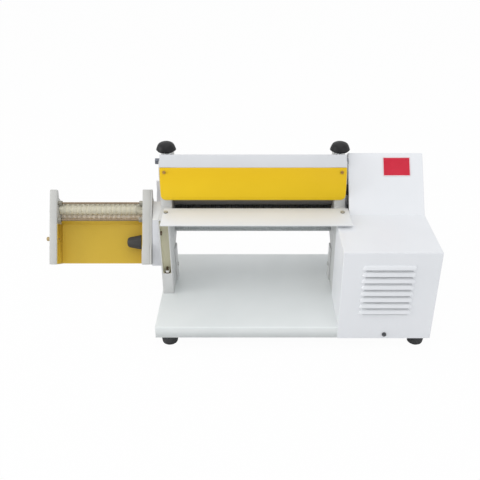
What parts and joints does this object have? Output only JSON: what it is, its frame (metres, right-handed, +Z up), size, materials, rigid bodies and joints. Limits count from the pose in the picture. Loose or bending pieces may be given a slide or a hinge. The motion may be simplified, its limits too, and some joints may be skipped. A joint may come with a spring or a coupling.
{
  "type": "electric pasta maker",
  "caption": "Bench-top electric dough roller: two steel sheeting rollers with screw knobs, yellow guard and feed tray, motor housing and a clip-on noodle cutter.",
  "frame": {"origin": "middle of the footprint, on the table under the feet", "axes": "+X from the noodle cutter to the motor housing, +Y from the feed tray to the back, +Z up"},
  "size_m": [0.702, 0.2714, 0.307],
  "materials": {
    "white_paint": "semi-gloss white enamel",
    "cast_white": "cast, white enamel",
    "yellow_paint": "semi-gloss yellow enamel",
    "steel": "ground",
    "plated": "zinc plated",
    "dark_steel": "machined",
    "bronze": "turned",
    "black_plastic": "moulded",
    "black_rubber": "moulded",
    "badge_red": "gloss"
  },
  "bodies": {
    "machine": {"base_plate": "white_paint", "rubber_feet": "black_rubber", "left_upright": "cast_white", "right_upright": "cast_white", "left_cheek": "cast_white", "right_cheek": "cast_white", "frame_brackets": "white_paint", "frame_screws": "bronze", "tie_bar": "steel", "tie_bolts": "plated", "top_beam": "white_paint", "roller_guard": "yellow_paint", "guard_screws": "plated", "feed_tray": "white_paint", "tray_screws": "plated", "lower_bushes": "bronze", "adjuster_nuts": "bronze", "motor_cover": "white_paint", "cover_screws": "plated", "rear_panel": "white_paint", "panel_screws": "plated", "badge_plate": "badge_red", "cord_gland": "black_plastic", "switch_body": "black_plastic", "motor_body": "dark_steel", "motor_cradle": "cast_white", "run_capacitor": "black_plastic", "drive_belt": "black_rubber", "layshaft_stand": "dark_steel", "coupling_cover": "white_paint"},
    "carriage": {"bearing_blocks": "bronze"},
    "left_adjuster": {"left_screw": "steel", "left_knob": "black_plastic"},
    "right_adjuster": {"right_screw": "steel", "right_knob": "black_plastic"},
    "lower_roll": {"lower_roller": "steel", "lower_roll_gear": "dark_steel", "main_gear": "dark_steel"},
    "upper_roll": {"upper_roller": "steel", "upper_roll_gear": "dark_steel"},
    "layshaft_set": {"layshaft": "steel", "pinion": "dark_steel", "driven_pulley": "dark_steel"},
    "motor_rotor": {"motor_shaft": "steel", "motor_pulley": "dark_steel"},
    "power_rocker": {"switch_rocker": "black_plastic"},
    "cutter": {"cutter_end_plate": "cast_white", "cutter_gear_case": "cast_white", "cutter_case_lid": "cast_white", "cutter_rods": "steel", "rod_nuts": "plated", "noodle_chute": "yellow_paint", "chute_screw": "plated"},
    "rear_cutter": {"rear_cutting_roll": "steel", "rear_cutting_gear": "dark_steel"},
    "front_cutter": {"front_cutting_roll": "steel", "front_cutting_gear": "dark_steel"},
    "cutter_lock": {"lock_stud": "steel", "lock_knob": "black_plastic"}
  },
  "joints": [
    {"name": "lower_roller_spin", "type": "hinge", "parent": "machine", "child": "lower_roll", "pos_m": [0.037, 0.07325, 0.155], "axis": [1, 0, 0], "continuous": true},
    {"name": "upper_gap", "type": "slide", "parent": "machine", "child": "carriage", "axis": [0, 0, 1], "range_m": [0, 0.005]},
    {"name": "upper_roller_spin", "type": "hinge", "parent": "carriage", "child": "upper_roll", "pos_m": [0.037, 0.07325, 0.2116], "axis": [1, 0, 0], "continuous": true},
    {"name": "left_knob_turn", "type": "hinge", "parent": "carriage", "child": "left_adjuster", "pos_m": [-0.121, 0.07325, 0.2935], "axis": [0, 0, 1], "range_deg": [0, 900]},
    {"name": "right_knob_turn", "type": "hinge", "parent": "carriage", "child": "right_adjuster", "pos_m": [0.195, 0.07325, 0.2935], "axis": [0, 0, 1], "range_deg": [0, 900]},
    {"name": "layshaft_spin", "type": "hinge", "parent": "machine", "child": "layshaft_set", "pos_m": [0.256, 0.05315, 0.11468], "axis": [1, 0, 0], "continuous": true},
    {"name": "motor_spin", "type": "hinge", "parent": "machine", "child": "motor_rotor", "pos_m": [0.286, -0.05675, 0.1065], "axis": [1, 0, 0], "continuous": true},
    {"name": "rocker_tip", "type": "hinge", "parent": "machine", "child": "power_rocker", "pos_m": [0.342, 0.06325, 0.2035], "axis": [0, 1, 0], "range_deg": [-16, 0]},
    {"name": "cutter_slide", "type": "slide", "parent": "machine", "child": "cutter", "axis": [-1, 0, 0], "range_m": [0, 0.06]},
    {"name": "rear_cutter_spin", "type": "hinge", "parent": "cutter", "child": "rear_cutter", "pos_m": [-0.249, 0.07325, 0.155], "axis": [1, 0, 0], "continuous": true},
    {"name": "front_cutter_spin", "type": "hinge", "parent": "cutter", "child": "front_cutter", "pos_m": [-0.249, 0.06542, 0.17438], "axis": [1, 0, 0], "continuous": true},
    {"name": "lock_knob_turn", "type": "hinge", "parent": "cutter", "child": "cutter_lock", "pos_m": [-0.184, 0.02911, 0.12314], "axis": [1, 0, 0], "range_deg": [0, 720]}
  ],
  "couplings": [
    {"joint": "upper_roller_spin", "follows": "lower_roller_spin", "ratio": -1},
    {"joint": "layshaft_spin", "follows": "lower_roller_spin", "ratio": -4},
    {"joint": "motor_spin", "follows": "lower_roller_spin", "ratio": -11.429},
    {"joint": "rear_cutter_spin", "follows": "lower_roller_spin", "ratio": 1},
    {"joint": "front_cutter_spin", "follows": "lower_roller_spin", "ratio": -1},
    {"joint": "left_knob_turn", "follows": "upper_gap", "rad_per_m": 3141.6},
    {"joint": "right_knob_turn", "follows": "upper_gap", "rad_per_m": 3141.6}
  ]
}
